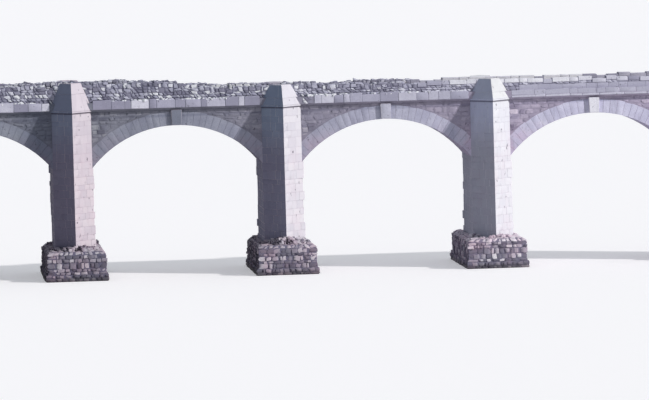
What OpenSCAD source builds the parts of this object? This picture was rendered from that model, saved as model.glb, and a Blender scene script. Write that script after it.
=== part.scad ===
// Stone arch bridge of four segmental arches on three tall slender piers.
// X runs along the bridge, Y across it and Z up, with the origin at the foot of the middle pier.
// Every pier has a pointed cutwater on each face that climbs to the parapet and ends in a sloping cap.

/* [Arches] */
// Distance between pier centres
bay = 7500; // [6800:50:9000]
// Height of the springing above the water
spring_z = 3950; // [3200:50:5000]
// Rise of the arch from springing to crown
rise = 1450; // [1200:10:1900]
// Thickness of the arch ring
ring_t = 500; // [350:10:650]
// Width of the keystone at the crown of the arch
key_w = 330; // [240:10:460]
// How far a keystone stands out from the wall face
key_proud = 120; // [40:5:150]

/* [Deck] */
// Width of the bridge between the two outer wall faces
deck_w = 3200; // [2600:50:4200]
// Thickness of the spandrel walls and parapets
wall_t = 450; // [350:10:600]
// Levelling bed between the crown of the ring and the string course
bed_t = 50; // [30:5:80]
// Height of the string course
string_h = 320; // [200:10:400]
// How far the string course stands out from the wall face
string_proud = 170; // [120:5:220]
// Height of the hollow under the string course
cove_h = 70; // [40:5:120]
// Depth of the hollow under the string course
cove_in = 100; // [40:5:110]
// Height of the parapet above the string course
parapet_h = 440; // [350:10:900]
// How much higher the parapet stands over the left-hand arches
parapet_gain = 270; // [0:10:400]
// Where the higher stretch starts to fall, in bays left of the middle pier
fall_start = 0.62; // [0.4:0.01:0.9]
// Where it has fallen to the lower height, in bays left of the middle pier
fall_end = 0.28; // [0:0.01:0.39]
// Thickness of the road bed at its edges
road_edge_t = 100; // [60:5:140]
// Thickness of the road bed along the middle
road_crown_t = 150; // [100:5:220]

/* [Piers] */
// Width of a pier along the bridge
pier_w = 1400; // [1200:10:1800]
// How far the point of a cutwater reaches out from the wall face
cutwater_d = 1100; // [800:10:1400]
// Overhang of a cap round the top of its cutwater
cap_ledge = 50; // [20:5:90]
// Upright band at the foot of a cap
cap_band_h = 70; // [40:5:120]
// Size of a cap's flat top as a share of its foot
cap_top_share = 0.49; // [0.35:0.01:0.65]

/* [Plinths] */
// Height of the rubble plinth under a pier
plinth_h = 1050; // [800:10:1400]
// How far a plinth reaches out past the pier, along and across the bridge
plinth_step = 330; // [150:10:400]
// Height of the sloping top of a plinth
plinth_slope_h = 110; // [60:5:180]
// How far the sloping top draws in
plinth_slope_in = 120; // [60:5:140]
// Height of the footing course at the waterline
footing_h = 240; // [150:10:320]
// How far the footing course stands out from the plinth
footing_step = 60; // [30:5:90]

/* [Ends] */
// Length of an abutment behind the springing
abutment_l = 2400; // [1800:50:3600]
// Level shelf behind the sloping seat of an abutment
shelf_l = 150; // [80:10:300]

/* [Parapet coping] */
// Mean length of a coping stone
coping_l = 460; // [300:10:700]
// How uneven the top of the parapet is
coping_drop = 110; // [0:5:140]
// Share of its length by which a coping joint may be off its even place
joint_shift = 0.25; // [0:0.05:0.35]
// Which coping stone has gone from the front wall, counted from the left, or -1 for none
lost_stone = 18; // [-1:1:72]
// How far the top drops where the stone has gone
lost_drop = 190; // [0:10:250]

/* [Hidden] */
$fn = 96;
// Facets of the large circles of the arches
arc_fn = 720;
piers = 3;
arches = piers + 1;
sides = [-1, 1];
half_span = (bay - pier_w) / 2;
radius = (half_span * half_span + rise * rise) / (2 * rise);
half_angle = asin(half_span / radius);
centre_z = spring_z + rise - radius;
outer_r = radius + ring_t;
// The ring's end face rests on a sloping seat that climbs from the springing to this point
seat_in = bay / 2 - outer_r * sin(half_angle);
seat_z = centre_z + outer_r * cos(half_angle);
string_z = spring_z + rise + ring_t + bed_t;
parapet_z = string_z + string_h;
top_z = parapet_z + parapet_h + parapet_gain;
face_y = deck_w / 2;
key_angle = 2 * asin(key_w / 2 / radius);
key_reach = string_z - centre_z;
springing_x = arches * bay / 2 - pier_w / 2;
abutment_seat_x = springing_x + pier_w / 2 - seat_in;
end_x = springing_x + abutment_l;
plinth_w = pier_w + 2 * plinth_step;
plinth_d = deck_w + 2 * (cutwater_d + plinth_step);
abutment_plinth_d = deck_w + 2 * plinth_step;
pier_x = [for (i = [1:piers]) (i - (piers + 1) / 2) * bay];
cap_h = [for (x = pier_x) string_h + wall_h(x)];
crown_x = [for (i = [1:arches]) (i - (arches + 1) / 2) * bay];
far = 2 * end_x;
overlap = 1;
// Seeds that fix the uneven heights and joints of the coping
height_seed = 7;
joint_seed = 11;

SANDSTONE = [0.72, 0.66, 0.64];
PALE_STONE = [0.83, 0.80, 0.78];
RUBBLE = [0.50, 0.46, 0.46];
FILL = [0.45, 0.42, 0.38];
EARTH = [0.58, 0.53, 0.46];

// Extrudes an upright outline drawn in X and Z, from y0 to y1
module upright(y0, y1) {
    translate([0, y1, 0]) rotate([90, 0, 0]) linear_extrude(y1 - y0) children();
}

// Height of the parapet above the string course at a place along the bridge
function wall_h(x) = parapet_h
    + parapet_gain * min(1, max(0, (-x / bay - fall_end) / (fall_start - fall_end)));

// Rubble block with a footing course at the waterline and a sloping top
module plinth_block(w, d) {
    body_h = plinth_h - plinth_slope_h;
    translate([-w / 2 - footing_step, -d / 2 - footing_step, 0])
        cube([w + 2 * footing_step, d + 2 * footing_step, footing_h]);
    translate([-w / 2, -d / 2, 0]) cube([w, d, body_h]);
    hull() {
        translate([-w / 2, -d / 2, body_h - overlap]) cube([w, d, overlap]);
        translate([-w / 2 + plinth_slope_in, -d / 2 + plinth_slope_in, plinth_h - overlap])
            cube([w - 2 * plinth_slope_in, d - 2 * plinth_slope_in, overlap]);
    }
}

module pier_plinth(i) {
    color(RUBBLE) translate([pier_x[i - 1], 0, 0]) plinth_block(plinth_w, plinth_d);
}

// The abutment's plinth steps out on the river side and both flanks, and is cut flush at the road end
module abutment_plinth(side) {
    w = abutment_l + 2 * plinth_step;
    color(RUBBLE) intersection() {
        translate([side * (springing_x - plinth_step + w / 2), 0, 0]) plinth_block(w, abutment_plinth_d);
        translate([side > 0 ? 0 : -end_x, -deck_w, 0]) cube([end_x, 2 * deck_w, top_z]);
    }
}

// Pier body under the springings, its top cut to the sloping seats of both arch rings
module pier_shaft(i) {
    color(SANDSTONE) translate([pier_x[i - 1], 0, 0]) upright(-face_y, face_y)
        polygon([
            [-pier_w / 2, plinth_h],
            [pier_w / 2, plinth_h],
            [pier_w / 2, spring_z],
            [seat_in, seat_z],
            [-seat_in, seat_z],
            [-pier_w / 2, spring_z],
        ]);
}

module abutment(side) {
    color(SANDSTONE) mirror([side > 0 ? 0 : 1, 0, 0]) upright(-face_y, face_y)
        polygon([
            [springing_x, plinth_h],
            [end_x, plinth_h],
            [end_x, string_z],
            [abutment_seat_x + shelf_l, string_z],
            [abutment_seat_x + shelf_l, seat_z],
            [abutment_seat_x, seat_z],
            [springing_x, spring_z],
        ]);
}

// Pointed outline of a cutwater or cap, its back on the wall face, scaled about the middle of that back
module point_outline(ledge, share) {
    half = (pier_w / 2 + ledge) * share;
    reach = (cutwater_d + ledge) * share;
    polygon([[-half, 0], [half, 0], [0, -reach]]);
}

// Turns something drawn on the front face at x = 0 to a pier and a side
module at_pier(i, side) {
    translate([pier_x[i - 1], side * face_y, 0]) mirror([0, side > 0 ? 1 : 0, 0]) children();
}

module cutwater(i, side) {
    color(PALE_STONE) at_pier(i, side)
        translate([0, 0, plinth_h]) linear_extrude(string_z - plinth_h) point_outline(0, 1);
}

module cap_solid(i, side) {
    at_pier(i, side) translate([0, 0, string_z]) {
        linear_extrude(cap_band_h) point_outline(cap_ledge, 1);
        hull() {
            translate([0, 0, cap_band_h - overlap]) linear_extrude(overlap) point_outline(cap_ledge, 1);
            translate([0, 0, cap_h[i - 1] - overlap])
                linear_extrude(overlap) point_outline(cap_ledge, cap_top_share);
        }
    }
}

module cap(i, side) {
    color(PALE_STONE) cap_solid(i, side);
}

// Wedge of the keystone, from inside the opening up to the string course
module key_wedge(i) {
    tip = [crown_x[i - 1], centre_z];
    reach_x = key_reach * tan(key_angle / 2);
    polygon([tip, tip + [reach_x, key_reach], tip + [-reach_x, key_reach]]);
}

// The slot for a keystone, through the ring and the spandrel wall on one side
module key_slot(i, side, proud) {
    inner = face_y - wall_t;
    outer = face_y + proud;
    upright(side > 0 ? inner : -outer, side > 0 ? outer : -inner) key_wedge(i);
}

module barrel_cut(i, r) {
    translate([crown_x[i - 1], 0, centre_z]) rotate([90, 0, 0])
        cylinder(h = far, r = r, center = true, $fn = arc_fn);
}

module keystones(i) {
    color(PALE_STONE) for (side = sides) difference() {
        key_slot(i, side, key_proud);
        barrel_cut(i, radius);
    }
}

// Vault of one arch across the whole width, with a slot at each face for the keystone
module arch_barrel(i) {
    color(SANDSTONE) difference() {
        translate([crown_x[i - 1], deck_w / 2, centre_z]) rotate([90, 0, 0]) rotate([0, 0, 90 - half_angle])
            rotate_extrude(angle = 2 * half_angle, $fn = arc_fn) translate([radius, 0]) square([ring_t, deck_w]);
        for (side = sides) key_slot(i, side, 0);
    }
}

// Outline of the masonry between two rings, from the crown of one arch to the crown of the next.
// Spandrel 1 stands at the left abutment and the last one at the right abutment.
module haunch_outline(k) {
    left = k == 1 ? -abutment_seat_x - shelf_l : crown_x[k - 2];
    right = k == arches + 1 ? abutment_seat_x + shelf_l : crown_x[k - 1];
    translate([left, seat_z]) square([right - left, string_z - seat_z]);
}

module haunch_solid(k, y0, y1) {
    difference() {
        upright(y0, y1) haunch_outline(k);
        for (i = [k - 1, k]) if (i >= 1 && i <= arches) barrel_cut(i, outer_r);
    }
}

module spandrel_walls(k) {
    color(SANDSTONE) for (side = sides) difference() {
        haunch_solid(k, side > 0 ? face_y - wall_t : -face_y, side > 0 ? face_y : wall_t - face_y);
        for (i = [k - 1, k]) if (i >= 1 && i <= arches) key_slot(i, side, 0);
    }
}

module haunch_fill(k) {
    color(FILL) haunch_solid(k, wall_t - face_y, face_y - wall_t);
}

// Section of the string course: an upright face over a small hollow
module string_section() {
    difference() {
        translate([-wall_t, 0]) square([wall_t + string_proud, string_h]);
        translate([string_proud, 0]) scale([cove_in / cove_h, 1]) circle(cove_h);
    }
}

module string_course(side) {
    color(PALE_STONE) difference() {
        translate([-end_x, side * face_y, string_z]) mirror([0, side > 0 ? 0 : 1, 0])
            rotate([90, 0, 90]) linear_extrude(2 * end_x) string_section();
        for (i = [1:piers]) cap_solid(i, side);
    }
}

// Top edge of the parapet: a row of rough coping stones, each a little higher or lower than the next
coping_n = round(2 * end_x / coping_l);
coping_tops = rands(0, coping_drop, coping_n, height_seed);
coping_joints = rands(-joint_shift, joint_shift, coping_n, joint_seed);
function coping_x(j) = -end_x + 2 * end_x * (j + (j > 0 && j < coping_n ? coping_joints[j] : 0)) / coping_n;

module parapet(side) {
    tops = [for (j = [0:coping_n - 1]) wall_h((coping_x(j) + coping_x(j + 1)) / 2)
        - coping_tops[side > 0 ? coping_n - 1 - j : j] - (side < 0 && j == lost_stone ? lost_drop : 0)];
    steps = [for (j = [0:coping_n - 1]) each [[coping_x(j), tops[j]], [coping_x(j + 1), tops[j]]]];
    color(RUBBLE) translate([0, 0, parapet_z])
        upright(side > 0 ? face_y - wall_t : -face_y, side > 0 ? face_y : wall_t - face_y)
            polygon(concat([[-end_x, 0]], steps, [[end_x, 0]]));
}

// Road bed with a slight camber across the bridge
module roadway() {
    edge = face_y - wall_t;
    color(EARTH) translate([-end_x, 0, string_z]) rotate([90, 0, 90]) linear_extrude(2 * end_x)
        polygon([[-edge, 0], [edge, 0], [edge, road_edge_t], [0, road_crown_t], [-edge, road_edge_t]]);
}

for (i = [1:piers]) {
    pier_plinth(i);
    pier_shaft(i);
    cutwater(i, -1);
    cutwater(i, 1);
    cap(i, -1);
    cap(i, 1);
}
for (i = [1:arches]) {
    arch_barrel(i);
    keystones(i);
}
for (k = [1:arches + 1]) {
    spandrel_walls(k);
    haunch_fill(k);
}
abutment_plinth(-1);  // left_abutment_plinth
abutment_plinth(1);  // right_abutment_plinth
abutment(-1);  // left_abutment
abutment(1);  // right_abutment
string_course(-1);  // front_string_course
string_course(1);  // back_string_course
parapet(-1);  // front_parapet
parapet(1);  // back_parapet
roadway();
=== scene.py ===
import math

import bpy
import numpy as np
from mathutils import Matrix, Vector


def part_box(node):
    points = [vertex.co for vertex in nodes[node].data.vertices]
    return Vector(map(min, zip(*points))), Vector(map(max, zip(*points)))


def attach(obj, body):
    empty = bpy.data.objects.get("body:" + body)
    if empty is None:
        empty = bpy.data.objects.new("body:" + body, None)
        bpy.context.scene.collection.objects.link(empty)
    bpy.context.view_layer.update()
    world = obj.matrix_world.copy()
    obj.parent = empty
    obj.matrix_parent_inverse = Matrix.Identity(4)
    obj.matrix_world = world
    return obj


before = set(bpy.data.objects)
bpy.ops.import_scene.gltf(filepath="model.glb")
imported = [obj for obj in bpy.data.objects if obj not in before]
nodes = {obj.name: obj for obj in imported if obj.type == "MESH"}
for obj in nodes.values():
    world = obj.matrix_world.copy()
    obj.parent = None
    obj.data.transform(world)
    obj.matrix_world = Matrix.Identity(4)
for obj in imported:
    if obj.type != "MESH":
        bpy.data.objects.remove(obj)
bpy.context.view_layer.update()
chance = np.random.default_rng(5173)  # every random draw comes from here, in one fixed order
up = np.array([0.0, 0.0, 1.0])


# Sizes read off the frame

def nodeBox(name):
    low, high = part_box(name)
    return np.array(low), np.array(high)


def middleX(name):
    low, high = nodeBox(name)
    return low[0] / 2 + high[0] / 2


pierNumbers = (1, 2, 3)
archNumbers = (1, 2, 3, 4)
sides = ((-1, "front"), (1, "back"))
pierX = {i: middleX(f"pier_shaft_{i}") for i in pierNumbers}
crownX = {i: middleX(f"arch_barrel_{i}") for i in archNumbers}
shaftLow, shaftHigh = nodeBox("pier_shaft_2")
pierHalf = (shaftHigh - shaftLow)[0] / 2
halfSpan = (pierX[3] - pierX[2]) / 2 - pierHalf
wallY = shaftHigh[1]
noseY, stringZ = nodeBox("back_cutwater_2")[1][1:]
innerY = nodeBox("back_parapet")[0][1]
endX = nodeBox("front_parapet")[1][0]
abutmentX = nodeBox("right_abutment")[0][0]
plinthZ = nodeBox("pier_plinth_2")[1][2]
springZ = nodeBox("arch_barrel_2")[0][2]
parapetZ = nodeBox("front_parapet")[0][2]


def solveRing():  # radius, thickness and centre height of a ring that fills the barrel's own box
    low, high = nodeBox("arch_barrel_2")
    outerHalf = (high[0] - low[0]) / 2
    thickness = 0.5  # a first guess, which every round brings closer
    for _ in range(40):
        rise = high[2] - low[2] - thickness
        radius = (halfSpan ** 2 + rise ** 2) / (2 * rise)
        thickness = (outerHalf - halfSpan) * radius / halfSpan
    return radius, thickness, springZ + rise - radius


ringRadius, ringThickness, ringCentreZ = solveRing()
outerRadius = ringRadius + ringThickness
ringAngle = math.asin(halfSpan / ringRadius)
print("frame read: radius", round(ringRadius, 3), "ring", round(ringThickness, 3))


# Base stones, each modelled once and then laid many times

baseStones = {
    "rubbleKinds": 7, "rubbleCuts": 2, "rubbleSmooth": 0.45, "rubbleJitter": 0.085,
    "pebbleKinds": 6, "pebbleCuts": 1, "pebbleSmooth": 0.5, "pebbleJitter": 0.1,
    "dressedKinds": 5, "dressedArris": 0.1, "dressedInset": 0.16, "dressedJitter": 0.02,
}


def startCube(name):
    bpy.ops.object.select_all(action="DESELECT")
    bpy.ops.mesh.primitive_cube_add(size=1, location=(0, 0, 0))
    block = bpy.context.object
    block.name = name
    bpy.ops.object.mode_set(mode="EDIT")
    bpy.ops.mesh.select_all(action="SELECT")
    return block


def takeShape(block):  # keeps the corners and faces of a finished base stone, in a box from 0 to 1
    bpy.ops.object.mode_set(mode="OBJECT")
    points = np.array([v.co for v in block.data.vertices])
    points = (points - points.min(0)) / (points.max(0) - points.min(0))
    faces = [list(p.vertices) for p in block.data.polygons]
    bpy.data.objects.remove(block)
    return {"points": points, "faces": faces}


def modelRough(kind, seed):
    block = startCube(kind + "Base")
    bpy.ops.mesh.subdivide(number_cuts=baseStones[kind + "Cuts"])
    bpy.ops.mesh.vertices_smooth(factor=baseStones[kind + "Smooth"], repeat=1)
    bpy.ops.transform.vertex_random(offset=baseStones[kind + "Jitter"], uniform=1, seed=seed)
    return takeShape(block)


def modelDressed(kind, seed):
    block = startCube(kind + "Base")
    bpy.ops.mesh.bevel(offset=baseStones["dressedArris"], segments=1, affect="EDGES")
    bpy.ops.object.mode_set(mode="OBJECT")
    for face in block.data.polygons:  # the worked face looks along +Z of the base
        face.select = face.normal.z > 0.9
    bpy.ops.object.mode_set(mode="EDIT")
    bpy.ops.mesh.select_mode(type="FACE")
    bpy.ops.mesh.inset(thickness=baseStones["dressedInset"])
    bpy.ops.mesh.subdivide(number_cuts=1)
    bpy.ops.transform.vertex_random(offset=baseStones["dressedJitter"], uniform=1, seed=seed)
    return takeShape(block)


bases = {}
for kind, model in (("rubble", modelRough), ("pebble", modelRough), ("dressed", modelDressed)):
    bases[kind] = [model(kind, seed) for seed in range(baseStones[kind + "Kinds"])]
print("base stones modelled:", {kind: len(shapes) for kind, shapes in bases.items()})


# Laying stones: a cell has eight corners, indexed [along][up][out], and a stone is stretched into it

laying = {
    "shareLimit": 0.3,  # most of a cell's side that a joint or an arris takes
    "legLimit": 0.42,  # most of a face that one corner stone takes
    "shortest": 0.04,  # a run or a height under this gets no stones
    "stoneSpread": 0.55,
    "courseSpread": 0.35,
}
noGaps = ((0, 0), (0, 0), (0, 0))
rubble = {"stone": "rubble", "smoothAngle": 60}
pebbles = {"stone": "pebble", "smoothAngle": 60}
dressed = {"stone": "dressed", "smoothAngle": 35}


def point(x, y, z):
    return np.array([x, y, z], float)


def flatPoint(xy, z):
    return point(xy[0], xy[1], z)


def emptyCell():
    return np.zeros((2, 2, 2, 3))


def cellOf(low0, low1, high0, high1, outward, depth, proud):
    corners = emptyCell()
    for u, v, spot in ((0, 0, low0), (1, 0, low1), (0, 1, high0), (1, 1, high1)):
        corners[u, v, 0] = spot - outward * depth
        corners[u, v, 1] = spot + outward * proud
    return corners


def stoneInCell(base, corners, gaps, arris):
    edges = (corners[1] - corners[0], corners[:, 1] - corners[:, 0], corners[:, :, 1] - corners[:, :, 0])
    sizes = [max(np.linalg.norm(e, axis=-1).mean(), 0.01) for e in edges]
    limit = laying["shareLimit"]
    t = base["points"].copy()
    for axis, size in enumerate(sizes):
        if arris:
            share = min(arris / size, limit)
            knee = baseStones["dressedArris"]
            t[:, axis] = np.interp(t[:, axis], [0, knee, 1 - knee, 1], [0, share, 1 - share, 1])
        low = min(gaps[axis][0] / size, limit)
        high = 1 - min(gaps[axis][1] / size, limit)
        t[:, axis] = low + t[:, axis] * (high - low)
    u, v, w = (t[:, k][:, None] for k in range(3))
    laid = 0
    for i, a in ((0, 1 - u), (1, u)):
        for j, b in ((0, 1 - v), (1, v)):
            for k, c in ((0, 1 - w), (1, w)):
                laid = laid + a * b * c * corners[i, j, k]
    return laid


def ruffle(corners, amount):  # turns and swells a rough stone in the plane of the wall
    middle = corners.mean((0, 1, 2))
    along = (corners[1] - corners[0]).mean((0, 1))
    along = along / np.linalg.norm(along)
    turned = amount * (chance.random() + chance.random() - 1)
    swell = 1 + amount * (chance.random() - 0.35)
    offset = corners - middle
    s, v = offset @ along, offset @ up
    flat = np.cos(turned) * s - np.sin(turned) * v
    rise = np.sin(turned) * s + np.cos(turned) * v
    return middle + offset + (flat * swell - s)[..., None] * along + (rise * swell - v)[..., None] * up


def makePiece(name, stones, finish, look):  # joins all stones of a piece in one mesh
    kinds = bases[look["stone"]]
    points, faces, tones = [], [], []
    count = 0
    for corners, gaps, tone in stones:
        base = kinds[chance.integers(len(kinds))]
        if look.get("ruffle"):
            corners = ruffle(corners, look["ruffle"])
        laid = stoneInCell(base, corners, gaps, look.get("arris", 0))
        points.append(laid)
        faces.extend([[v + count for v in face] for face in base["faces"]])
        tones.append(np.full(len(laid), tone))
        count += len(laid)
    mesh = bpy.data.meshes.new(name)
    mesh.from_pydata(np.concatenate(points).tolist(), [], faces)
    toneLayer = mesh.attributes.new("tone", "FLOAT", "POINT")
    toneLayer.data.foreach_set("value", np.concatenate(tones).astype(np.float32))
    piece = bpy.data.objects.new(name, mesh)
    bpy.context.collection.objects.link(piece)
    bpy.ops.object.select_all(action="DESELECT")
    piece.select_set(True)
    bpy.context.view_layer.objects.active = piece
    bpy.ops.object.mode_set(mode="EDIT")
    bpy.ops.mesh.select_all(action="SELECT")
    bpy.ops.mesh.normals_make_consistent(inside=False)
    bpy.ops.object.mode_set(mode="OBJECT")
    bpy.ops.object.shade_smooth_by_angle(angle=math.radians(look["smoothAngle"]))
    mesh.materials.append(finishes[finish])
    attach(piece, "root")
    print(name, len(stones), "stones", len(mesh.polygons), "faces")


def between(ends):
    return ends[0] + (ends[1] - ends[0]) * chance.random()


def pickTone(look):  # 0 is the darkest stone of a finish and 1 the palest
    low, high = look.get("tones", (0, 1))
    return low + (high - low) * chance.random() ** look.get("darkBias", 1)


def splitRun(length, stoneLength, spread=laying["stoneSpread"]):
    count = max(1, round(length / stoneLength))
    weights = 1 + spread * (2 * chance.random(count) - 1)
    return np.concatenate([[0], np.cumsum(weights / weights.sum())]) * length


def pairs(marks):
    return zip(marks[:-1], marks[1:])


def courses(low, high, look):  # foot and top of each course between two heights
    return pairs(low + splitRun(high - low, look["course"], laying["courseSpread"]))


def jointGaps(look):
    half = look["joint"] / 2
    return ((half, half), (half, half), (0, 0))


def layStretch(stones, low0, low1, high0, high1, outward, look):  # one course along a straight face
    length = np.linalg.norm(low1 - low0)
    if length < laying["shortest"]:
        return
    marks = splitRun(length, look["length"]) / length
    lean = look.get("lean", 0) / length  # how far the top of an upright joint is shifted
    tops = np.clip(marks + lean * (0.5 + chance.random(len(marks))), 0, 1)
    tops[0], tops[-1] = 0, 1
    lowStep, highStep = low1 - low0, high1 - high0
    for (a, b), (c, d) in zip(pairs(marks), pairs(tops)):
        rise = up * (between(look["rise"]) if "rise" in look else 0)
        corners = cellOf(low0 + lowStep * a, low0 + lowStep * b, high0 + highStep * c + rise,
                         high0 + highStep * d + rise, outward, look["depth"], between(look["proud"]))
        stones.append((corners, jointGaps(look), pickTone(look)))


def layLevel(stones, a, b, y, z0, z1, outward, look):  # one level course on a wall face
    start, end = (a, b) if outward[1] < 0 else (b, a)
    layStretch(stones, point(start, y, z0), point(end, y, z0), point(start, y, z1), point(end, y, z1),
               outward, look)


def layFace(stones, a, b, y, low, high, outward, look):  # level courses on a wall face
    for z0, z1 in courses(low, high, look):
        layLevel(stones, a, b, y, z0, z1, outward, look)


def layRing(stones, planLow, planHigh, z0, z1, look, closed, courseNumber):
    # Corner stones wrap both faces and bond: long leg one course, short leg the next
    planLow, planHigh = np.array(planLow, float), np.array(planHigh, float)
    total = len(planLow)
    runs = total if closed else total - 1
    ways, outs, lengths = [], [], []
    for i in range(runs):
        step = planLow[(i + 1) % total] - planLow[i]
        lengths.append(np.linalg.norm(step))
        ways.append(step / lengths[-1])
        outs.append(np.array([ways[-1][1], -ways[-1][0]]))
    starts, ends = [0.0] * runs, list(lengths)
    joint = look["joint"] / 2
    for i in range(total):
        if not closed and i in (0, total - 1):
            continue
        came, goes = (i - 1) % total, i
        odd = (courseNumber + i) % 2
        legs = (look["longLeg"], look["shortLeg"]) if odd else (look["shortLeg"], look["longLeg"])
        legIn = min(between(legs[0]), lengths[came] * laying["legLimit"])
        legOut = min(between(legs[1]), lengths[goes] * laying["legLimit"])
        proud = between(look["proud"])
        tip = proud + look["ragged"] * chance.random() ** 2 if i in look.get("raggedCorners", ()) else proud
        miter = (outs[came] + outs[goes]) / (1 + outs[came] @ outs[goes])
        corners = emptyCell()
        for v, plan, z in ((0, planLow, z0), (1, planHigh, z1)):
            corner = plan[i]
            a, b = corner - ways[came] * legIn, corner + ways[goes] * legOut
            corners[0, v, 1] = flatPoint(a + outs[came] * proud, z)
            corners[1, v, 1] = flatPoint(corner + miter * tip, z)
            corners[1, v, 0] = flatPoint(b + outs[goes] * proud, z)
            corners[0, v, 0] = flatPoint(a + b - corner, z)
        stones.append((corners, ((joint, 0), (joint, joint), (joint, 0)), pickTone(look)))
        ends[came] = lengths[came] - legIn
        starts[goes] = legOut
    for i in range(runs):
        j = (i + 1) % total
        shares = starts[i] / lengths[i], ends[i] / lengths[i]
        low0, low1 = (flatPoint(planLow[i] + (planLow[j] - planLow[i]) * s, z0) for s in shares)
        high0, high1 = (flatPoint(planHigh[i] + (planHigh[j] - planHigh[i]) * s, z1) for s in shares)
        layStretch(stones, low0, low1, high0, high1, flatPoint(outs[i], 0), look)


def laySolid(stones, planAt, low, high, look, closed=True):  # courses from low to high round a plan
    for n, (z0, z1) in enumerate(courses(low, high, look)):
        layRing(stones, planAt(z0), planAt(z1), z0, z1, look, closed, n)


# Materials

def paint(code):  # a colour as seen on screen, made linear
    parts = [int(code[k:k + 2], 16) / 255 for k in (0, 2, 4)]
    return tuple(c / 12.92 if c <= 0.04045 else ((c + 0.055) / 1.055) ** 2.4 for c in parts) + (1.0,)


class Wire:  # a socket that joins in Python sums, each of which adds its Math node
    def __init__(self, finish, socket):
        self.finish = finish
        self.socket = socket

    def math(self, operation, first, second):
        return self.finish.node("ShaderNodeMath", {"operation": operation}, {0: first, 1: second})

    def __add__(self, other):
        return self.math("ADD", self, other)

    def __sub__(self, other):
        return self.math("SUBTRACT", self, other)

    def __rsub__(self, other):
        return self.math("SUBTRACT", other, self)

    def __mul__(self, other):
        return self.math("MULTIPLY", self, other)

    __radd__ = __add__
    __rmul__ = __mul__


class Finish:  # a material or a world, and the nodes behind it
    def __init__(self, owner, shader="Principled BSDF"):
        owner.use_nodes = True
        self.owner = owner
        self.tree = owner.node_tree
        self.shader = self.tree.nodes[shader]

    def plug(self, value, socket):  # joins a wire, paints a colour code or sets a value
        if isinstance(value, Wire):
            self.tree.links.new(value.socket, socket)
        else:
            socket.default_value = paint(value) if isinstance(value, str) else value

    def put(self, socket, value):
        self.plug(value, self.shader.inputs[socket])

    def node(self, kind, settings=None, sockets=None, out=0):
        made = self.tree.nodes.new(kind)
        for key, value in (settings or {}).items():
            if key == "stops":
                while len(made.color_ramp.elements) < len(value):
                    made.color_ramp.elements.new(0.5)
                for k, (element, colour) in enumerate(zip(made.color_ramp.elements, value)):
                    element.position = k / (len(value) - 1)
                    element.color = paint(colour)
            else:
                setattr(made, key, value)
        for key, value in (sockets or {}).items():
            self.plug(value, made.inputs[key])
        return Wire(self, made.outputs[out])

    def mix(self, factor, first, second, blend="MIX"):
        return self.node("ShaderNodeMix", {"data_type": "RGBA", "blend_type": blend},
                         {0: factor, 6: first, 7: second}, 2)

    def stain(self, factor, colour, by):  # multiplies a colour by another, as far as factor says
        return self.mix(factor, colour, by, "MULTIPLY")

    def part(self, vector, axis):
        return self.node("ShaderNodeSeparateXYZ", {}, {0: vector}, axis)

    def noise(self, place, scale, detail=5, roughness=0.6):
        return self.node("ShaderNodeTexNoise", {}, {"Vector": place, "Scale": scale, "Detail": detail,
                                                    "Roughness": roughness})

    def between(self, value, low, high):  # 0 below low, 1 above high
        return self.node("ShaderNodeMapRange", {"interpolation_type": "SMOOTHSTEP"},
                         {"Value": value, "From Min": low, "From Max": high})

    def band(self, value, rises, falls):  # 0, then 1 from rises to falls, then 0 again
        return self.between(value, *rises) * (1 - self.between(value, *falls))


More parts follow.
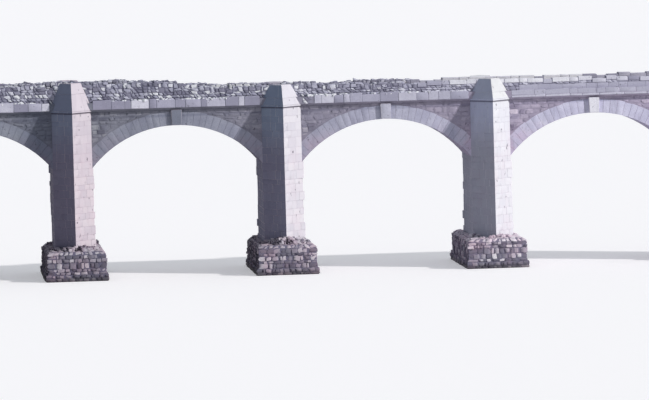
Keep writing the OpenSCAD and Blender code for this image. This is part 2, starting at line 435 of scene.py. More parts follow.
def stoneFinish(name, look):
    look = {**commonStone, **look}
    finish = Finish(bpy.data.materials.new(name))

    def over(value, key):  # 0 below and 1 above the two limits that the look gives
        return finish.between(value, *look[key])

    def cover(colour, mask, key, blend="MULTIPLY"):  # lays on one of the look's colours
        return finish.mix(mask * look[key], colour, look[key + "Colour"], blend)

    place = finish.node("ShaderNodeTexCoord", out=3)
    normal = finish.node("ShaderNodeTexCoord", out=1)
    across, height, facing = finish.part(place, 0), finish.part(place, 2), finish.part(normal, 0)
    tone = finish.node("ShaderNodeAttribute", {"attribute_name": "tone"}, out=2)
    mottle = finish.noise(place, look["mottleScale"])
    grain = finish.noise(place, look["grainScale"], 6, 0.7)

    # A tone for each stone, calmer towards the right
    calm = 1 - over(across, "calmFrom") * look["calmRight"]
    mixture = 0.5 + (tone * look["toneShare"] + mottle * (1 - look["toneShare"]) - 0.5) * calm
    ramp = over(mixture, "toneRange")
    colour = finish.node("ShaderNodeValToRGB", {"stops": look["colours"].split()}, {0: ramp})

    # Grain, pits with ragged edges and upright streaks
    # painted shade: how far a face looks left, away from the sun; below it darkens the colour and hides the
    # pits
    paintedShade = over(0 - facing, "paintedShadeFacing") * look["paintedShadeSide"]
    wobble = finish.node("ShaderNodeTexNoise", {}, {"Vector": place, "Scale": 11, "Detail": 4}, 1)
    ragged = finish.node("ShaderNodeVectorMath", {"operation": "MULTIPLY_ADD"},
                         {0: wobble, 1: look["pitRagged"], 2: place})
    pits = finish.node("ShaderNodeTexVoronoi", {"feature": "F1"},
                       {"Vector": ragged, "Scale": look["pitScale"]})
    pitMask = (1 - over(pits, "pitEdge")) * (1 - paintedShade * look["paintedShadeFill"])
    colour = cover(colour, over(grain, "grainEdge"), "grain", "MIX")
    colour = cover(colour, pitMask * over(mottle, "pitPatches"), "pit", "MIX")
    upright = finish.node("ShaderNodeMapping", {}, {"Vector": place, "Scale": look["streakStretch"]})
    streaks = finish.noise(upright, look["streakScale"], 6, 0.65)
    colour = cover(colour, over(streaks, "streakEdge"), "streak", "MIX")

    # A tint along the bridge, and painted shade on faces that look left, away from the sun: blue-green higher
    # up like skylight in shade, lighter towards the right
    along = finish.between(across + mottle * 3, look["tintTo"], look["paleFrom"])
    colour = finish.stain(1, colour, finish.mix(along, look["leftEnd"], look["rightEnd"]))
    highUp = over(height + mottle * 1.2, "paintedShadeHeight")
    paintedShadeLeft = finish.mix(highUp, look["paintedShadeLow"], look["paintedShadeHigh"])
    paintedShadeRight = finish.mix(highUp, look["paintedShadeRight"], look["paintedShadeRightHigh"])
    colour = finish.stain(paintedShade, colour, finish.mix(over(across, "paintedShadeRightFrom"), paintedShadeLeft, paintedShadeRight))

    # Stains, painted shadows and painted shade at their places on the bridge
    lowPart = 1 - over(height, "blushHeight")
    colour = cover(colour, lowPart * over(mottle, "blushPatches"), "blush")
    # painted shadow: a dark band just under the caps' base, where their overhang shades the pier
    colour = cover(colour, finish.band(height, *look["capPaintedShadowBand"]), "capDirt")
    # painted shade: the sunlit caps towards the right are dimmed a little
    colour = cover(colour, over(height, "crestHeight") * over(across, "crestFrom"), "crest")
    # painted shadow: the wall left of a pier, where its cutwater casts shadow, is made darker and bluer
    for i, share in look["pierPaintedShadows"].items():
        begins, ends = ([pierX[i] + offset for offset in edge] for edge in look["pierPaintedShadowBand"])
        beside = finish.between(across + mottle * 0.6, *begins) * (1 - finish.between(across, *ends))
        colour = finish.stain(beside * share, colour, look["pierPaintedShadowColour"])
    # painted shadow: a dark band under the string course, widening its cast shadow downward
    waved = height + mottle * 0.09 - across * 0.006
    colour = cover(colour, finish.band(waved, *look["stringPaintedShadowBand"]), "stringDirt")
    wet = 1 - over(height + mottle * 0.2, "wetHeight")
    colour = cover(colour, wet, "wet")

    relief = grain * 0.55 + mottle * 0.45 - pitMask * 0.35
    bump = {"Strength": look["bump"], "Distance": 0.03, "Height": relief}
    finish.put("Base Color", colour)
    finish.put("Roughness", 0.97 - wet * 0.35 - grain * 0.12)
    finish.put("Specular IOR Level", 0.25)
    finish.put("Normal", finish.node("ShaderNodeBump", {}, bump))
    return finish.owner


commonStone = {  # what a finish doesn't state for itself
    "mottleScale": 1.7, "toneShare": 0.62, "toneRange": (0.12, 0.88), "calmFrom": (-3, 9), "calmRight": 0,
    "grainScale": 26, "grainEdge": (0.42, 0.75), "grain": 0.3, "grainColour": "77738a",
    "pitScale": 5.5, "pitRagged": (0.16, 0.16, 0.28), "pitEdge": (0.1, 0.17), "pitPatches": (0.42, 0.56),
    "pit": 0.6, "pitColour": "4d4a5c", "streakScale": 1.3, "streakStretch": (2.6, 2.6, 0.5),
    "streakEdge": (0.48, 0.72), "streak": 0.25, "streakColour": "77758a",
    "leftEnd": "b4bcba", "rightEnd": "ffffff", "tintTo": -4, "paleFrom": 13,
    # painted shade on faces that look left, away from the sun: which faces, where it turns, how strong, and
    # its colours
    "paintedShadeFacing": (0.25, 0.75), "paintedShadeHeight": (springZ + 0.65, springZ + 2.45), "paintedShadeRightFrom": (2, 6),
    "paintedShadeSide": 1, "paintedShadeFill": 0.8, "paintedShadeLow": "aaa5b0", "paintedShadeHigh": "a3b0b4", "paintedShadeRight": "dcdce2",
    "paintedShadeRightHigh": "dcdce2",
    "blush": 0.9, "blushColour": "f4dde5", "blushHeight": (springZ + 0.25, springZ + 1.45),
    "blushPatches": (0.3, 0.7),
    # painted shadow in a band just under the caps
    "capDirt": 0, "capDirtColour": "77717f",
    "capPaintedShadowBand": ((stringZ - 0.065, stringZ - 0.02), (stringZ, stringZ + 0.025)),
    # painted shade that faintly dims the sunlit caps towards the right
    "crest": 0, "crestColour": "fbfbf6", "crestHeight": (stringZ + 0.05, stringZ + 0.15), "crestFrom": (3, 6),
    # painted shadow on the wall left of a pier, where its cutwater casts shadow
    "pierPaintedShadows": {}, "pierPaintedShadowColour": "a9b4c6", "pierPaintedShadowBand": ((-2.1, -0.9), (-0.6, 0)),
    # painted shadow in a band below the string course's cast shadow
    "stringDirt": 0, "stringDirtColour": "b6bac8",
    "stringPaintedShadowBand": ((stringZ - 0.23, stringZ - 0.15), (stringZ - 0.13, stringZ - 0.07)),
    "wet": 0.7, "wetColour": "6f7069", "wetHeight": (0.12, 0.34), "bump": 0.5,
}
# walls take the painted shadow under the string course and the painted shadow left of the first pier
wallStone = {"leftEnd": "acb2b0", "tintTo": -6, "paleFrom": 16, "stringDirt": 0.4, "pierPaintedShadows": {1: 0.5}}
# the piers take darker painted shade on their left faces, a painted shadow band under the caps and a faint
# painted shade on the sunlit cap tops
paleStone = {
    "leftEnd": "ebdfe2", "tintTo": -9.5, "paleFrom": 9, "paintedShadeLow": "8c8fa1", "paintedShadeHigh": "95a4b7",
    "paintedShadeRight": "b4b7c2", "paintedShadeRightHigh": "c8cde2", "capDirt": 0.75, "crest": 1,
}
finishLooks = {
    "paleAshlar": {
        **paleStone, "colours": "dedee5 e4e4ea e8e8ed ebebef", "calmRight": 0.6, "grain": 0.12,
        "grainColour": "bdb4c2", "pitScale": 3.2, "pit": 0.75, "streak": 0.14, "streakColour": "c9bac2",
        "blush": 0.25},
    "ringStone": {**wallStone, "colours": "c5c2dc d3d0e8 e0ddf2 ecebf8", "toneShare": 0.25},
    "spandrelRubble": {**wallStone, "colours": "9590a5 bab6cb d0cbdd eae5f1", "rightEnd": "f0e7ec"},
    "stringStone": {
        "colours": "9a98ab b2b0c3 c6c4d4 ebe9f3", "toneShare": 0.6, "calmRight": 0.75, "streak": 0.15,
        "leftEnd": "ffffff"},
    "keyStone": {
        "colours": "b2afc6 c4c1d8 dbd8ea f2f0f8", "toneShare": 0.85, "streak": 0.15, "leftEnd": "a9b1af"},
    "copingSlab": {
        "colours": "a5a3b6 bebccd dad8e5 f3f2f8", "toneShare": 0.85, "streak": 0.15, "leftEnd": "e2e2e6",
        # weaker painted shade on the slabs' faces that look left
        "paintedShadeSide": 0.3},
    "parapetRubble": {
        "colours": "8a8799 a3a1b3 b8b6c8 d2d0df f8f7fb", "toneShare": 0.72, "calmRight": 0.5,
        "leftEnd": "f4f6f6", "paleFrom": 12},
    "plinthRubble": {
        "colours": "7d7b8a 9f9ba8 bcb6c2 d6d0da f3f0f5", "toneShare": 0.75, "leftEnd": "d2d2d4",
        # a darker painted shade low on the plinths' faces that look left
        "paintedShadeLow": "777481"},
    "mortar": {**wallStone, "colours": "aaa6ba b9b5c8 c4c0d3 cfcbdc", "toneShare": 0, "rightEnd": "f0e7ec"},
    "rubbleMortar": {"colours": "716e7f 838093 9391a4 a3a0b2", "toneShare": 0, "leftEnd": "d0d2d8"},
    "paleMortar": {**paleStone, "colours": "cac6d1 d5d1db dedae4 e5e2ea", "toneShare": 0},
    "roadEarth": {"colours": "8a8078 9d9288 b0a599 c2b7aa", "toneShare": 0, "paintedShadeSide": 0},
}
finishes = {name: stoneFinish(name, look) for name, look in finishLooks.items()}
print("materials made:", len(finishes))


def mortarFor(name):
    if name == "roadway" or "fill" in name:
        return finishes["roadEarth"]
    if any(word in name for word in ("cutwater", "cap", "keystone", "shaft")):
        return finishes["paleMortar"]
    if "parapet" in name or "plinth" in name:
        return finishes["rubbleMortar"]
    return finishes["mortar"]


for name, node in nodes.items():
    node.data.materials.clear()
    node.data.materials.append(mortarFor(name))


# Plinths

plinthLook = {
    **pebbles, "length": 0.19, "course": 0.135, "depth": 0.1, "proud": (0.015, 0.06), "joint": 0.008,
    "longLeg": (0.22, 0.34), "shortLeg": (0.14, 0.2), "ruffle": 0.3, "darkBias": 1.05,
    # ledge tones: the palest stones on the top course and pavers, a painted highlight where the sun catches
    # the plinth's top
    "footingTones": (0.05, 0.65), "ledgeHighlightTones": (0.55, 1), "ledgeDepth": 0.2,
    "paver": 0.23, "paverSpread": 0.3, "paverDepth": 0.08, "paverProud": (0.01, 0.035),
}
plinthForm = {"footingTop": 0.24, "footingStep": 0.06, "slopeFoot": 0.94, "slopeIn": 0.12}
heapLook = {
    "stones": {1: 70, 2: 120, 3: 14}, "height": {1: 0.2, 2: 0.36, 3: 0.05}, "least": 0.05, "sunk": 0.03,
    "away": (0.02, 0.28), "outward": (0.84, 0.54), "pastNose": 0.16, "size": (0.09, 0.19),
    "thickness": (0.55, 0.85),
}


def rectangle(low, high):
    return [(low[0], low[1]), (high[0], low[1]), (high[0], high[1]), (low[0], high[1])]


def layPlinth(stones, name, drawnIn, look):  # drawnIn: share of the slope left, front, right and back
    low, high = nodeBox(name)
    footingTop, slopeFoot = plinthForm["footingTop"], plinthForm["slopeFoot"]

    def planAt(z):
        inset = plinthForm["footingStep"] if z >= footingTop else 0
        inset += max(0.0, z - slopeFoot) / (plinthZ - slopeFoot) * plinthForm["slopeIn"]
        return rectangle((low[0] + inset * drawnIn[0], low[1] + inset * drawnIn[1]),
                         (high[0] - inset * drawnIn[2], high[1] - inset * drawnIn[3]))

    footing = rectangle(low, high)
    ledgeLook = {**look, "depth": look["ledgeDepth"], "tones": look["ledgeHighlightTones"], "darkBias": 1}
    laySolid(stones, lambda z: footing, 0.0, footingTop, {**look, "tones": look["footingTones"]})
    laySolid(stones, planAt, footingTop, slopeFoot, look)
    layRing(stones, planAt(slopeFoot), planAt(plinthZ), slopeFoot, plinthZ, ledgeLook, True, 1)
    layPavers(stones, planAt(plinthZ), name, look)


def layPavers(stones, plan, name, look):  # flat stones on top, wherever no masonry stands
    (x0, y0), (x1, y1) = plan[0], plan[2]
    rows = y0 + splitRun(y1 - y0, look["paver"], look["paverSpread"])
    for ya, yb in pairs(rows):
        marks = x0 + splitRun(x1 - x0, look["paver"], look["paverSpread"])
        for xa, xb in pairs(marks):
            if isBuiltOn(name, (xa + xb) / 2, (ya + yb) / 2):
                continue
            corners = cellOf(point(xa, ya, plinthZ), point(xb, ya, plinthZ), point(xa, yb, plinthZ),
                             point(xb, yb, plinthZ), up, look["paverDepth"], between(look["paverProud"]))
            stones.append((corners, jointGaps(look), between(look["ledgeHighlightTones"])))


def isBuiltOn(name, x, y):
    if "abutment" in name:
        return abs(x) > abutmentX + 0.05 and abs(y) < wallY - 0.05
    offset = abs(x - middleX(name)) + 0.08
    return offset < pierHalf and abs(y) + 0.08 < noseY - offset / pierHalf * (noseY - wallY)


def layFootRubble(stones, i):  # loose stones heaped against the faces of the cutwaters
    for side in (-1, 1):
        for hand in (-1, 1):
            for _ in range(heapLook["stones"][i]):
                along = chance.random() ** 1.3
                away = between(heapLook["away"])
                x = hand * (along * pierHalf + heapLook["outward"][0] * away)
                y = noseY - along * (noseY - wallY) + heapLook["outward"][1] * away
                if y > noseY + heapLook["pastNose"]:
                    continue
                top = heapLook["height"][i] * (1 - along) ** 1.4 + heapLook["least"]
                lift = top * chance.random() * (1 - away / 0.32)
                size = between(heapLook["size"]) * np.array([1, 0.8, between(heapLook["thickness"])])
                layLoose(stones, (pierX[i] + x, side * y), plinthZ - heapLook["sunk"] + lift, size)


def layLoose(stones, foot, z, size, tones=(0.25, 1)):  # one stone, turned and tilted by chance
    turn = chance.random() * math.pi
    way = point(math.cos(turn), math.sin(turn), 0)
    out = point(way[1], -way[0], 0)
    start = flatPoint(foot, z) - way * size[0] / 2
    end = start + way * size[0]
    tilt = up * size[2] * 0.3 * (chance.random() - 0.5)
    corners = cellOf(start, end + tilt, start + up * size[2], end + up * size[2] + tilt, out, size[1] / 2,
                     size[1] / 2)
    stones.append((corners, noGaps, between(tones)))


for i in pierNumbers:
    stones = []
    # the third plinth: darker stones, and a near-white top course painted as the highlight of its sunlit
    # ledge
    look = {**plinthLook, "ledgeHighlightTones": (0.85, 1), "darkBias": 1.5} if i == 3 else plinthLook
    layPlinth(stones, f"pier_plinth_{i}", (1, 1, 1, 1), look)
    layFootRubble(stones, i)
    makePiece(f"plinthStones_{i}", stones, "plinthRubble", plinthLook)
for side, drawnIn in (("left", (0, 1, 1, 1)), ("right", (1, 1, 0, 1))):
    stones = []
    layPlinth(stones, f"{side}_abutment_plinth", drawnIn, plinthLook)
    makePiece(f"abutmentPlinthStones_{side}", stones, "plinthRubble", plinthLook)


# Piers and cutwaters

pierLook = {
    **dressed, "arris": 0.0015, "length": 0.42, "course": 0.27, "depth": 0.16, "proud": (0.006, 0.009),
    "joint": 0.005, "longLeg": (0.42, 0.55), "shortLeg": (0.22, 0.32), "ragged": 0.06,
    "raggedCorners": (2, 5),
}
for i, x in pierX.items():
    stones = []
    plan = [(x - pierHalf, -wallY), (x, -noseY), (x + pierHalf, -wallY),
            (x + pierHalf, wallY), (x, noseY), (x - pierHalf, wallY)]
    laySolid(stones, lambda z: plan, plinthZ, springZ, pierLook)
    for cutwater in (plan[:3], plan[3:]):
        laySolid(stones, lambda z: cutwater, springZ, stringZ, pierLook, closed=False)
    makePiece(f"pierStones_{i}", stones, "paleAshlar", pierLook)


# Caps

capLook = {
    **pierLook, "course": 0.39, "length": 0.7, "proud": (0.02, 0.026), "raggedCorners": (),
    "tones": (-0.2, 0.5),
}
capForm = {
    "bandHeight": 0.07, "ledge": 0.05, "topShare": 0.49, "backProud": 0.006, "lidSunk": 0.03,
    "lidProud": 0.02,
}


def layCap(i, side):
    stones = []
    topZ = nodeBox(f"front_cap_{i}")[1][2]
    bandZ = stringZ + capForm["bandHeight"]
    backY = wallY - capForm["backProud"]
    halfFoot, reachFoot = pierHalf + capForm["ledge"], noseY - wallY + capForm["ledge"]

    def planAt(z):
        climb = max(0.0, z - bandZ) / (topZ - bandZ)
        share = 1 - climb * (1 - capForm["topShare"])
        plan = [(pierX[i] - halfFoot * share, -wallY), (pierX[i], -wallY - reachFoot * share),
                (pierX[i] + halfFoot * share, -wallY)]
        return plan if side < 0 else [(2 * pierX[i] - x, -y) for x, y in plan]

    layRing(stones, planAt(stringZ), planAt(bandZ), stringZ, bandZ, capLook, False, 1)
    laySolid(stones, planAt, bandZ, topZ, capLook, closed=False)
    a, tip, b = (np.array(p) for p in planAt(topZ))
    a[1] = b[1] = side * backY
    corners = emptyCell()
    for v, z in ((0, topZ - capForm["lidSunk"]), (1, topZ + capForm["lidProud"])):
        for u, w, spot in ((0, 1, a), (1, 1, tip), (1, 0, b), (0, 0, (a + b) / 2)):
            corners[u, v, w] = flatPoint(spot, z)
    stones.append((corners, noGaps, pickTone(capLook)))
    for corners, gaps, tone in stones:  # nothing sticks out at the back, over the parapet
        corners[..., 1] = side * np.maximum(side * corners[..., 1], backY)
    return stones


for i in pierNumbers:
    stones = layCap(i, -1) + layCap(i, 1)
    makePiece(f"capStones_{i}", stones, "paleAshlar", capLook)


# Abutments

abutmentLook = {**pierLook, "length": 0.5, "proud": (0.004, 0.02), "raggedCorners": (), "tones": (0.35, 0.7)}


def layEnd(stones, hand, y0, y1, low, high, look):  # courses on an end face of the bridge
    x = hand * endX
    start, end = (y0, y1) if hand > 0 else (y1, y0)
    for z0, z1 in courses(low, high, look):
        layStretch(stones, point(x, start, z0), point(x, end, z0), point(x, start, z1), point(x, end, z1),
                   point(hand, 0, 0), look)


for side, hand in (("left", -1), ("right", 1)):
    stones = []
    inner, outer = sorted((hand * abutmentX, hand * endX))
    plan = rectangle((inner, -wallY), (outer, wallY))
    laySolid(stones, lambda z: plan, plinthZ, springZ, abutmentLook)
    layEnd(stones, hand, -wallY, wallY, springZ, stringZ, abutmentLook)
    makePiece(f"abutmentStones_{side}", stones, "spandrelRubble", abutmentLook)


# Arch rings and soffits

ringLook = {
    **dressed, "arris": 0.005, "joint": 0.004, "proud": (0.005, 0.009), "tones": (0.2, 0.8),
    "depth": (0.28, 0.5), "stones": 31, "unequal": 0.16, "ragged": 0.03,
    "soffitLength": 0.55, "soffitDepth": 0.1, "soffitProud": 0.012, "soffitShares": (0.4, 1.6),
}


def ringPoint(x, angle, radius, y):
    return np.array([x + radius * math.sin(angle), y, ringCentreZ + radius * math.cos(angle)])


def layArch(stones, x):
    count = ringLook["stones"]
    angles = np.linspace(-ringAngle, ringAngle, count + 1)
    angles[1:-1] += (chance.random(count - 1) - 0.5) * ringLook["unequal"] * (angles[1] - angles[0])
    joint = ringLook["joint"] / 2
    for n, (low, high) in enumerate(pairs(angles)):
        inside = ringRadius - ringLook["soffitProud"]
        fronts = []
        for hand in (-1, 1):
            depth, proud = between(ringLook["depth"]), between(ringLook["proud"])
            fronts.append(depth)
            if n == count // 2:
                continue  # the keystone's place
            outside = outerRadius - ringLook["ragged"] * chance.random()
            corners = emptyCell()
            for u, angle in enumerate((low, high) if hand < 0 else (high, low)):
                for v, radius in ((0, inside), (1, outside)):
                    corners[u, v, 0] = ringPoint(x, angle, radius, hand * (wallY - depth))
                    corners[u, v, 1] = ringPoint(x, angle, radius, hand * (wallY + proud))
            stones.append((corners, ((joint, joint), (0, joint), (0, 0)), pickTone(ringLook)))
        y0, y1 = -wallY + fronts[0], wallY - fronts[1]
        marks = y0 + splitRun(y1 - y0, ringLook["soffitLength"])
        for a, b in pairs(marks):
            corners = emptyCell()
            inside = ringRadius - ringLook["soffitProud"] * between(ringLook["soffitShares"])
            for u, angle in ((0, low), (1, high)):
                for v, y in ((0, b), (1, a)):
                    corners[u, v, 0] = ringPoint(x, angle, ringRadius + ringLook["soffitDepth"], y)
                    corners[u, v, 1] = ringPoint(x, angle, inside, y)
            stones.append((corners, jointGaps(ringLook), pickTone(ringLook)))


for i in archNumbers:
    stones = []
    layArch(stones, crownX[i])
    makePiece(f"voussoirs_{i}", stones, "ringStone", ringLook)


# Keystone faces

keyLook = {
    **dressed, "arris": 0.02, "skin": 0.008, "depth": 0.2, "tones": {1: 0.35, 2: 0.4, 3: 0.6, 4: 1},
}
stones = []
for i in archNumbers:
    low, high = nodeBox(f"keystones_{i}")
    halfTop = (high[0] - low[0]) / 2
    skin = keyLook["skin"]
    for hand in (-1, 1):
        corners = emptyCell()
        for u, turn in ((0, hand), (1, -hand)):
            for v, z in ((0, low[2] - skin), (1, high[2])):
                half = halfTop * (z - ringCentreZ) / (high[2] - ringCentreZ) + skin
                corners[u, v, 0] = (crownX[i] + turn * half, hand * (wallY - keyLook["depth"]), z)
                corners[u, v, 1] = (crownX[i] + turn * half, hand * (high[1] + skin), z)
        stones.append((corners, noGaps, keyLook["tones"][i]))
makePiece("keystoneFaces", stones, "keyStone", keyLook)


# Spandrels

spandrelLook = {
    **rubble, "length": 0.3, "course": 0.17, "depth": 0.12, "proud": (0.01, 0.026), "joint": 0.005,
    "tones": (0.4, 0.68), "roughStrip": 0.5, "leastHeight": 0.05, "mostCut": 0.1, "crownGap": 0.2,
}


def wallFloor(x, crown):  # lowest height of spandrel masonry at x, over one half of an arch
    offset = abs(x - crown)
    if offset <= outerRadius * math.sin(ringAngle):
        return ringCentreZ + math.sqrt(outerRadius ** 2 - offset ** 2)
    return springZ


def laySpandrel(stones, start, end, crown, hand):
    y = hand * wallY
    for z0, z1 in courses(springZ, stringZ, spandrelLook):
        marks = start + splitRun(end - start, spandrelLook["length"])
        for a, b in pairs(marks):
            if hand > 0:
                a, b = b, a
            lowA, lowB = max(z0, wallFloor(a, crown)), max(z0, wallFloor(b, crown))
            heights = z1 - lowA, z1 - lowB
            if max(heights) < spandrelLook["leastHeight"] or min(heights) < -spandrelLook["mostCut"]:
                continue
            highA, highB = min(max(z1, lowA + 0.01), stringZ), min(max(z1, lowB + 0.01), stringZ)
            corners = cellOf(point(a, y, lowA), point(b, y, lowB), point(a, y, highA), point(b, y, highB),
                             point(0, hand, 0), spandrelLook["depth"], between(spandrelLook["proud"]))
            past = min(((a + b) / 2 - x - pierHalf for x in pierX.values()), key=abs)
            nearPier = 0 < past < spandrelLook["roughStrip"]
            tone = chance.random() if nearPier else pickTone(spandrelLook)
            stones.append((corners, jointGaps(spandrelLook), tone))


for hand, name in sides:
    stones = []
    for i in archNumbers:
        left = pierX[i - 1] + pierHalf if i > 1 else -endX
        right = pierX[i] - pierHalf if i < 4 else endX
        laySpandrel(stones, left, crownX[i] - spandrelLook["crownGap"], crownX[i], hand)
        laySpandrel(stones, crownX[i] + spandrelLook["crownGap"], right, crownX[i], hand)
    makePiece(f"spandrelStones_{name}", stones, "spandrelRubble", spandrelLook)


# String courses

stringLook = {
    **dressed, "smoothAngle": 40, "arris": 0.012, "length": 0.45, "depth": 0.1, "proud": (0.008, 0.022),
    "joint": 0.006, "darkBias": 1.4, "coveHeight": 0.07, "topProud": 0.012, "capClear": 0.77,
    "brokenLength": 0.42, "brokenStone": 0.14,
}
unevenLook = {**stringLook, "depth": 0.14, "ruffle": 0.025, "rise": (0.015, 0.085), "tones": (0, 0.95)}
# palest stones along the foot of the string past the last pier, painted as the highlight of its sunlit lower
# edge; they also stand out a little
highlightStripLook = {
    **stringLook, "length": 0.8, "height": 0.08, "proud": (0.02, 0.024), "tones": (1.2, 1.5), "darkBias": 1,
}
bandLook = {
    **stringLook, "length": 0.62, "proud": (0.008, 0.014), "joint": 0.004, "tones": (0.45, 0.8),
    "darkBias": 1,
}


def freeRuns(clear):  # stretches along the bridge between the caps
    marks = [-endX]
    for i in pierNumbers:
        marks += [pierX[i] - clear, pierX[i] + clear]
    marks.append(endX)
    return list(zip(marks[::2], marks[1::2]))


for hand, name in sides:
    stones = []
    outerY = hand * abs(nodeBox(f"{name}_string_course")[0 if hand < 0 else 1][1])
    outward = point(0, hand, 0)
    low, high = stringZ + stringLook["coveHeight"], parapetZ + stringLook["topProud"]
    stripTop = low + highlightStripLook["height"]
    for a, b in freeRuns(stringLook["capClear"]):
        if hand < 0 and abs(a - stringLook["capClear"] - pierX[2]) < 0.01:
            a += stringLook["brokenLength"]
        if a < pierX[3]:
            layLevel(stones, a, b, outerY, low, high, outward, unevenLook)
        else:
            # the painted highlight strip along the foot, then the band above
            layLevel(stones, a, b, outerY, low, stripTop, outward, highlightStripLook)
            layLevel(stones, a, b, outerY, stripTop, high, outward, bandLook)
    makePiece(f"stringStones_{name}", stones, "stringStone", unevenLook)


# Parapets

parapetLook = {
    **rubble, "length": 0.155, "course": 0.12, "depth": 0.1, "proud": (0.012, 0.045), "joint": 0.008,
    "darkBias": 1.1, "lean": -0.09, "ruffle": 0.3,
}
blockLook = {
    **dressed, "arris": 0.004, "length": 0.62, "course": 0.2, "depth": 0.1, "proud": (0.01, 0.016),
    "joint": 0.004, "tones": (0.4, 0.9), "from": 8.1,
}
copingLook = {
    **pebbles, "length": 0.18, "depth": 0.1, "proud": (0.012, 0.05), "joint": 0.01, "lean": -0.04,
    "ruffle": 0.24, "darkBias": 1.2, "height": 0.14,
}
slabLook = {
    **dressed, "arris": 0.012, "joint": 0.01, "from": 5.0, "overhang": 0.035, "tilt": 0.02, "topProud": 0.012,
    "tones": (0.15, 0.6), "whiteTones": (0.7, 1), "white": ((6.1, 9.3), (10.0, 11.3)), "crestReach": 1.0,
}
looseLook = {  # stones along the broken top
    "every": 0.17, "sunk": 0.07, "length": (0.14, 0.34), "depth": (0.12, 0.2), "height": (0.06, 0.11),
    "lean": (-0.1, 0.28), "edge": 0.02,
}
ledgeLook = {  # small stones and old mortar on the string course
    "every": 0.11, "length": (0.1, 0.26), "depth": (0.1, 0.14), "height": (0.05, 0.1), "tones": (0.8, 1.3),
    "out": 0.09, "sunk": 0.01, "endClear": 0.1,
}


def isWhite(a, b):
    return any(low < (a + b) / 2 < high for low, high in slabLook["white"])


def copingSteps(name):  # the steps of the wall's top edge: start, end and height of each
    heights = {}
    for vertex in nodes[name].data.vertices:
        if vertex.co.z > parapetZ + 0.1:
            heights.setdefault(round(vertex.co.x, 3), set()).add(round(vertex.co.z, 3))
    steps = [(a, b, max(heights[a] & heights[b])) for a, b in pairs(sorted(heights))]
    level = []
    for a, b, top in steps:  # the white slabs share one crest
        if isWhite(a, b):
            top = max(t for c, d, t in steps if abs(c + d - a - b) < 2 * slabLook["crestReach"])
        level.append((a, b, top))
    return level


def layRoughCoping(stones, a, b, top, hand):  # small stones on both faces and two rows on top
    for y, outHand in ((hand * wallY, hand), (hand * innerY, -hand)):
        layLevel(stones, a, b, y, top - copingLook["height"], top + 0.01, point(0, outHand, 0), copingLook)
    edge, middle, inside = hand * (wallY + 0.01), hand * (wallY + innerY) / 2, hand * (innerY - 0.01)
    for y0, y1 in ((edge, middle), (middle, inside)):
        layStretch(stones, point(a, y0, top), point(b, y0, top), point(a, y1, top), point(b, y1, top),
                   up, copingLook)


def laySlab(stones, a, b, top, hand):
    over = slabLook["overhang"]
    y0, y1 = hand * (innerY - over * chance.random()), hand * (wallY + over * (0.2 + chance.random()))
    tilts = slabLook["tilt"] * (chance.random(4) - 0.35)
    corners = emptyCell()
    ends = (a, b) if hand < 0 else (b, a)
    for u in (0, 1):
        for w, y in ((0, y0), (1, y1)):
            corners[u, 0, w] = (ends[u], y, top - copingLook["height"])
            corners[u, 1, w] = (ends[u], y, top + slabLook["topProud"] + tilts[2 * u + w])
    tone = between(slabLook["whiteTones"] if isWhite(a, b) else slabLook["tones"])
    stones.append((corners, jointGaps(slabLook), tone))


def layTopRubble(stones, steps, hand):  # loose and leaning stones along the broken top
    edge = looseLook["edge"]
    for a, b, top in steps:
        if a > slabLook["from"]:
            continue
        for _ in range(round((b - a) / looseLook["every"])):
            x = a + (b - a) * chance.random()
            y = hand * (wallY - edge - (wallY - innerY - 2 * edge) * chance.random())
            length, depth, height = (between(looseLook[key]) for key in ("length", "depth", "height"))
            lean = between(looseLook["lean"]) * length
            z = top - looseLook["sunk"]
            low0 = point(x - length / 2, y, z + max(lean, 0))
            low1 = point(x + length / 2, y, z - min(lean, 0))
            corners = cellOf(low0, low1, low0 + up * height, low1 + up * height, point(0, -1, 0),
                             depth / 2, depth / 2)
            stones.append((corners, noGaps, pickTone(copingLook)))


def layLedgeStones(stones, hand):
    y = hand * (wallY + ledgeLook["out"])
    clear = ledgeLook["endClear"]
    for a, b in freeRuns(stringLook["capClear"]):
        if a > pierX[3]:
            continue
        for _ in range(round((b - a) / ledgeLook["every"])):
            x = a + clear + (b - a - 2 * clear) * chance.random()
            size = [between(ledgeLook[key]) for key in ("length", "depth", "height")]
            layLoose(stones, (x, y), parapetZ - ledgeLook["sunk"], size, ledgeLook["tones"])


def layRest(stones, a, b, y, low, top, outward):  # rubble between the level courses and the coping
    high = top - copingLook["height"]
    if high >= low + laying["shortest"]:
        layFace(stones, a, b, y, low, high, outward, parapetLook)


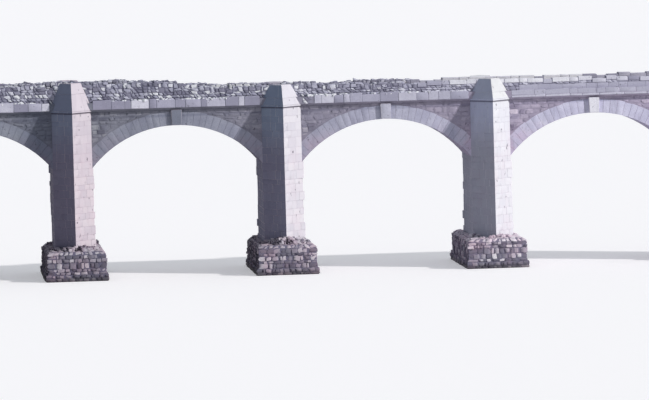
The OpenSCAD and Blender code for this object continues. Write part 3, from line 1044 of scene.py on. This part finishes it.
def layParapet(stones, blocks, coping, slabs, name, hand):
    steps = copingSteps(name)
    for a, b, top in steps:
        if (a + b) / 2 > slabLook["from"]:
            laySlab(slabs, a, b, top, hand)
        else:
            layRoughCoping(coping, a, b, top, hand)
    layTopRubble(coping, steps, hand)
    layLedgeStones(coping, hand)
    y0, y1 = sorted((hand * wallY, hand * innerY))
    layEnd(stones, -1, y0, y1, parapetZ, steps[0][2] - 0.01, parapetLook)
    layEnd(blocks, 1, y0, y1, parapetZ, steps[-1][2] - copingLook["height"], blockLook)
    blockTop = min(top for a, b, top in steps if b > blockLook["from"]) - copingLook["height"]
    blockStart = min(a for a, b, top in steps if a > blockLook["from"])
    bays = [[step for step in steps if low <= (step[0] + step[1]) / 2 < high]
            for low, high in pairs([-endX, *pierX.values(), blockStart])]
    for y, outHand in ((hand * wallY, hand), (hand * innerY, -hand)):
        outward = point(0, outHand, 0)
        for bay in bays:  # level courses up to the lowest step of a bay, then the rest of each step
            bayTop = min(top for a, b, top in bay) - copingLook["height"]
            layFace(stones, bay[0][0], bay[-1][1], y, parapetZ, bayTop, outward, parapetLook)
            for a, b, top in bay:
                layRest(stones, a, b, y, bayTop, top, outward)
        for a, b, top in steps:
            if a >= blockStart:
                layRest(stones, a, b, y, blockTop, top, outward)
        layFace(blocks, blockStart, endX, y, parapetZ, blockTop, outward, blockLook)


def layBrokenString(stones):  # rubble where the string beside the middle pier has gone
    start = pierX[2] + stringLook["capClear"]
    end = start + stringLook["brokenLength"] - 0.05
    y = nodeBox("front_string_course")[0][1]
    low = stringZ + stringLook["coveHeight"]
    look = {**parapetLook, "length": stringLook["brokenStone"]}
    layFace(stones, start, end, y, low, parapetZ, point(0, -1, 0), look)


for hand, name in sides:
    stones, blocks, coping, slabs = [], [], [], []
    layParapet(stones, blocks, coping, slabs, f"{name}_parapet", hand)
    if hand < 0:
        layBrokenString(stones)
    makePiece(f"parapetBlocks_{name}", blocks, "stringStone", blockLook)
    makePiece(f"copingStones_{name}", coping, "parapetRubble", copingLook)
    makePiece(f"copingSlabs_{name}", slabs, "copingSlab", slabLook)
    makePiece(f"parapetStones_{name}", stones, "parapetRubble", parapetLook)


# Stage, lights and camera

stage = {
    "floorRadius": 900, "floorColour": "e5e3e2", "floorGlow": (0.3, 0.3, 0.31, 1), "skyColour": "f4f4f6",
}
sunLook = {
    "azimuth": 56.5, "elevation": 32, "strength": 2.63, "softness": 2.5, "colour": (1.0, 0.985, 0.97),
    "fill": 0.372, "fillColour": (0.81, 0.885, 1.0, 1),
}
view = {
    "x": -15.221, "distance": 220.0, "eye": 14.238, "yaw": 4.339, "pitch": -3.033, "roll": 1.567,
    "lens": 342.5,
}


def plainlySeen(finish):  # 1 for rays that come from the camera, a mirror or clear glass
    rays = [finish.node("ShaderNodeLightPath", out=ray)
            for ray in ("Is Camera Ray", "Is Glossy Ray", "Is Transmission Ray")]
    total = rays[0] + rays[1] + rays[2]
    return total.math("MINIMUM", total, 1)


bpy.ops.object.select_all(action="DESELECT")
bpy.ops.mesh.primitive_circle_add(vertices=96, radius=stage["floorRadius"], fill_type="NGON",
                                  location=(0, 0, 0))
floor = bpy.context.object
floor.name = "floor"
floorFinish = Finish(bpy.data.materials.new("floorPaint"))
floorFinish.put("Base Color", stage["floorColour"])
floorFinish.put("Roughness", 0.9)
floorGlow = floorFinish.mix(plainlySeen(floorFinish), (0, 0, 0, 1), stage["floorGlow"])
floorFinish.put("Emission Color", floorGlow)
floorFinish.put("Emission Strength", 1)
floor.data.materials.append(floorFinish.owner)

bpy.ops.object.light_add(type="SUN", location=(40, -30, 30))
sun = bpy.context.object
az, el = math.radians(sunLook["azimuth"]), math.radians(sunLook["elevation"])
toSun = Vector((math.sin(az) * math.cos(el), -math.cos(az) * math.cos(el), math.sin(el)))
sun.rotation_euler = toSun.to_track_quat("Z", "Y").to_euler()
sun.data.energy = sunLook["strength"]
sun.data.angle = math.radians(sunLook["softness"])
sun.data.color = sunLook["colour"]

room = Finish(bpy.data.worlds.new("softRoom"), "Background")
room.put("Color", sunLook["fillColour"])
room.put("Strength", sunLook["fill"])
sky = room.node("ShaderNodeBackground", {}, {"Color": stage["skyColour"], "Strength": 1})
fill = Wire(room, room.shader.outputs[0])
blend = room.node("ShaderNodeMixShader", {}, {0: plainlySeen(room), 1: fill, 2: sky})
room.plug(blend, room.tree.nodes["World Output"].inputs["Surface"])
bpy.context.scene.world = room.owner

cameraData = bpy.data.cameras.new("camera")
cameraData.lens = view["lens"]
cameraData.clip_end = 3000
camera = bpy.data.objects.new("camera", cameraData)
bpy.context.collection.objects.link(camera)
turned = Matrix()
for angle, axis in ((-view["yaw"], "Z"), (90 + view["pitch"], "X"), (-view["roll"], "Z")):
    turned = turned @ Matrix.Rotation(math.radians(angle), 4, axis)
camera.matrix_world = Matrix.Translation((view["x"], -wallY - view["distance"], view["eye"])) @ turned
bpy.context.scene.camera = camera
bpy.context.scene.view_settings.view_transform = "Standard"
print("stage, lights and camera set")
